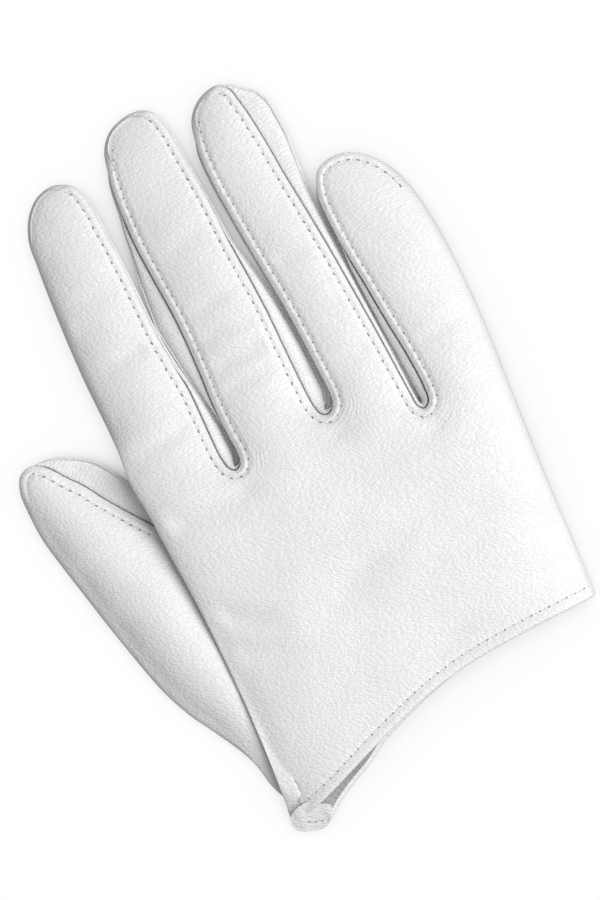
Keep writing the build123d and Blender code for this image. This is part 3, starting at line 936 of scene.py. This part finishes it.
def stitch_piece(name, spots, ways, tree, size=1.0):
    """A piece of threads and needle holes, each hole a dark dot of painted shade, lying on a surface, or
    None where nothing is below them.
    """
    bar, bar_tri = capsule(1.3, 0.38, 0.16)
    shade_dot, shade_dot_tri = capsule(0.95, 0.44, 0.12)
    random = np.random.default_rng(len(spots))
    co, tri, kind = [], [], []
    for (x, y), way in zip(spots, ways):
        hit, normal, _, _ = tree.ray_cast(Vector((x, y, 40)), Vector((0, 0, -1)))
        if hit is None:
            continue
        n = np.array(normal)
        n = n * np.sign(n[2])
        d = np.array([way[0], way[1], 0])
        d = d - n * (d @ n)
        d /= np.linalg.norm(d)
        axes = np.vstack([d, np.cross(n, d), n])
        turn = random.uniform(-0.3, 0.3)
        c, s = math.cos(turn), math.sin(turn)
        turned = np.array([[c, s, 0], [-s, c, 0], [0, 0, 1]])
        # the painted hole shade is drawn smaller on rows that run up the finger
        grip = (0.72 if way[1] > 0 else 1.0) * size
        stretch = [grip * random.uniform(0.7, 1.1), grip * random.uniform(0.7, 1.0), 1]
        ahead = hit + Vector(d * 1.14 * size)
        under = tree.ray_cast(Vector((ahead.x, ahead.y, 40)), Vector((0, 0, -1)))[0] or ahead
        thread = bar * size @ axes + hit - n * 0.06
        # a dark dot of painted shade, laid just over the surface where the needle hole is
        hole_shade = shade_dot * stretch @ turned @ axes + under + n * 0.06
        for which, (block, faces) in enumerate(((thread, bar_tri), (hole_shade, shade_dot_tri))):
            tri.append(faces + sum(len(done) for done in co))
            co.append(block)
            kind.append(np.full(len(faces), which))
    if not co:
        return None
    co, tri, kind = np.vstack(co), np.vstack(tri), np.concatenate(kind)
    return make_piece(name, co, tri, np.zeros((len(co), 2)), kind, materials=(THREAD, HOLE_SHADE))


# ---------------------------------------------------------------- the wrist tab

def make_tab():
    """A rounded plate that lies on the corner of the hem and hangs over the palm's."""
    path = spline([(*point, 0) for point in TAB][::-1], True, 0.3)[:, :2]
    tangent = np.roll(path, -1, axis=0) - np.roll(path, 1, axis=0)
    out = np.column_stack([tangent[:, 1], -tangent[:, 0]])
    out /= np.linalg.norm(out, axis=1)[:, None]
    near = np.arange(len(path))

    def height(xy):
        x, y = xy[:, 0], xy[:, 1]
        return 5.9 + 0.40 * (y + 78) - 0.9 * ramp(-x, 24.5, 27.5) - 0.8 * ramp(-y, 82.3, 84.2)

    tree = tree_of(path)

    def inside(points):
        found = np.array([tree.find((x, y, 0))[1] for x, y in points])
        return -np.einsum("ij,ij->i", points - path[found], out[found]) - 0.4

    skin = Skin()
    rows = [np.column_stack([path + out * u, height(path + out * u) + z])
            for u, z in ((-0.4, 0), (-0.12, -0.04), (0, -0.22), (0, -0.5), (-0.2, -0.75), (-0.4, -0.8))]
    skin.strip(rows, near, True, flip=True)
    points, tris = fill(path - out * 0.4, [], 0.5, inside)
    for side, drop in ((1, 0), (-1, 0.8)):
        skin.add(np.column_stack([points, height(points) - drop]), up_facing(points, tris, side),
                 np.zeros(len(points), int))
    co, tri, _, ripple, flesh = skin.joined()
    piece = make_piece("wrist_tab_leather", co, tri, ripple, flesh, point_normals(co, tri))
    tree = BVHTree.FromPolygons([Vector(p) for p in co], tri.tolist())
    ways = np.tile([1, -0.3], (len(TAB_TACKS), 1))
    return piece, stitch_piece("wrist_tab_stitches", TAB_TACKS, ways, tree, 0.8)


# ---------------------------------------------------------------- build

def finger_of(outline):
    """For each outline point, the finger whose side it is."""
    return np.searchsorted([outline.at(point) for point in SLIT_POINTS], np.arange(len(outline.xy)))


hand_outline, hand_skin, hand_stitches, hem_stitches = make_hand()
thumb_outline, thumb_skin, thumb_stitches = make_thumb()

finger_chains = [[Bend(f"{f}_{part}") for part in ("base", "mid", "tip")] for f in FINGERS]
finger_half = [7.0, 7.0, 7.0, 6.5]
finger_names = [[f"{f}_{part}_leather" for part in ("base", "middle", "end")] for f in FINGERS]
owner = finger_of(hand_outline)
hand_mesh = cut_up(hand_skin, finger_chains, owner, finger_names + ["hand_leather"], finger_half)
thumb_chains = [[Bend("thumb_base"), Bend("thumb_tip")]]
thumb_half = [8.0]
thumb_owner = np.zeros(len(thumb_outline.xy), int)
thumb_names = [["thumb_base_leather", "thumb_end_leather"], "thumb_heel_leather"]
thumb_mesh = cut_up(thumb_skin, thumb_chains, thumb_owner, thumb_names, thumb_half)

tab, tacks = make_tab()
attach(tab, "hand")
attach(tacks, "hand")

# Every CAD node is hidden, grouped with the leather that lies where it is
PART_NAMES = dict(base="base", mid="middle", tip="end")
OTHER_NODES = dict(thumb_heel="thumb_heel_leather", wrist_tab="wrist_tab_leather",
                   tab_bar_tack="wrist_tab_stitches")
groups = {}
for node in frame["nodes"]:
    digit, part = (node.split("_") + [""])[:2]
    target = OTHER_NODES.get(node, "hand_leather")
    if digit in FINGERS + ["thumb"] and part in PART_NAMES:
        target = f"{digit}_{PART_NAMES[part]}_leather"
    groups.setdefault(target, []).append(node)
for target, members in groups.items():
    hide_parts(*members)


def sew(spots, ways, mesh, chains, owner_of, outline, halves, prefix):
    """Stitches split over the same pieces as the leather they lie on."""
    co, tri = mesh
    tree = BVHTree.FromPolygons([Vector(p) for p in co], tri.tolist())
    near, _ = outline.nearest(spots)
    groups_at = {}
    for i, spot in enumerate(spots):
        c = owner_of[near[i]]
        chain = chains[c]
        along = chain[0].along(spot)
        level = sum(along >= start for start in piece_starts(chain, halves[c])) - 1
        groups_at.setdefault((c, level) if level >= 0 else None, []).append(i)
    for key, members in groups_at.items():
        name = f"{prefix[-1]}_stitches" if key is None else f"{prefix[key[0]]}_stitches_{key[1] + 1}"
        piece = stitch_piece(name, spots[members], ways[members], tree)
        if piece is None:
            continue
        if key is None:
            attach(piece, "hand")
        else:
            chains[key[0]][key[1]].blend(piece, halves[key[0]])


for row, rest in ((hand_stitches, "slit"), (hem_stitches, "hem")):
    sew(*row, hand_mesh, finger_chains, owner, hand_outline, finger_half, FINGERS + [rest])
sew(*thumb_stitches, thumb_mesh, thumb_chains, thumb_owner, thumb_outline, thumb_half,
    ["thumb", "thumb_heel"])


# ---------------------------------------------------------------- stage

SKY = 0.32  # strength of the surround's light
KEY_PLACE, KEY_POWER = (0.52, -0.10, 0.72), 8.2


def floor_material():
    """A clear surface that shows only soft contact shadows, so that a bent finger can be seen below it."""
    m = Material("floor")
    nodes, links = m.nodes, m.links
    nodes.remove(m.shader)
    clear, shade = nodes.new("ShaderNodeBsdfTransparent"), nodes.new("ShaderNodeEmission")
    shade.inputs["Color"].default_value = (0.12, 0.12, 0.123, 1)
    hidden = nodes.new("ShaderNodeAmbientOcclusion")
    hidden.samples = 12
    hidden.inputs["Distance"].default_value = 45 * MM
    mix = nodes.new("ShaderNodeMixShader")
    links.new(m.maths("POWER", m.maths("SUBTRACT", 1.0, hidden.outputs["AO"]), 2.3), mix.inputs["Fac"])
    links.new(clear.outputs[0], mix.inputs[1])
    links.new(shade.outputs[0], mix.inputs[2])
    links.new(mix.outputs[0], nodes["Material Output"].inputs["Surface"])
    return m.made


def make_stage():
    """A pale floor, a soft white surround and one soft light."""
    scene = bpy.context.scene
    world = bpy.data.worlds.new("studio")
    scene.world = world
    world.use_nodes = True
    nodes, links = world.node_tree.nodes, world.node_tree.links
    light, seen = nodes["Background"], nodes.new("ShaderNodeBackground")
    light.inputs["Color"].default_value = (0.985, 0.99, 1, 1)
    light.inputs["Strength"].default_value = SKY
    seen.inputs["Color"].default_value = (1, 1, 1, 1)
    rays, mix = nodes.new("ShaderNodeLightPath"), nodes.new("ShaderNodeMixShader")
    links.new(rays.outputs["Is Camera Ray"], mix.inputs["Fac"])
    links.new(light.outputs[0], mix.inputs[1])
    links.new(seen.outputs[0], mix.inputs[2])
    links.new(mix.outputs[0], nodes["World Output"].inputs["Surface"])
    floor_mesh = bpy.data.meshes.new("floor")
    corners = [(-1.5, -1.5, 0), (1.5, -1.5, 0), (1.5, 1.5, 0), (-1.5, 1.5, 0)]
    floor_mesh.from_pydata(corners, [], [(0, 1, 2, 3)])
    floor = bpy.data.objects.new("floor", floor_mesh)
    scene.collection.objects.link(floor)
    floor_mesh.materials.append(floor_material())
    key = bpy.data.lights.new("key", "AREA")
    key.shape = "SQUARE"
    key.size, key.energy = 0.8, KEY_POWER
    lamp = bpy.data.objects.new("key", key)
    lamp.location = KEY_PLACE
    lamp.rotation_euler = (-Vector(KEY_PLACE)).to_track_quat("-Z", "Y").to_euler()
    scene.collection.objects.link(lamp)
    scene.view_settings.view_transform = "Standard"


def make_camera():
    """Straight above the glove, turned as the picture is."""
    camera = bpy.data.cameras.new("camera")
    camera.lens, camera.sensor_width = 156.5, 36
    camera.clip_start, camera.clip_end = 0.05, 10
    holder = bpy.data.objects.new("camera", camera)
    holder.location = (6.5 * MM, -1.9 * MM, 0.9)
    holder.rotation_euler = (0, 0, math.radians(-22))
    bpy.context.scene.collection.objects.link(holder)
    bpy.context.scene.camera = holder


make_stage()
make_camera()
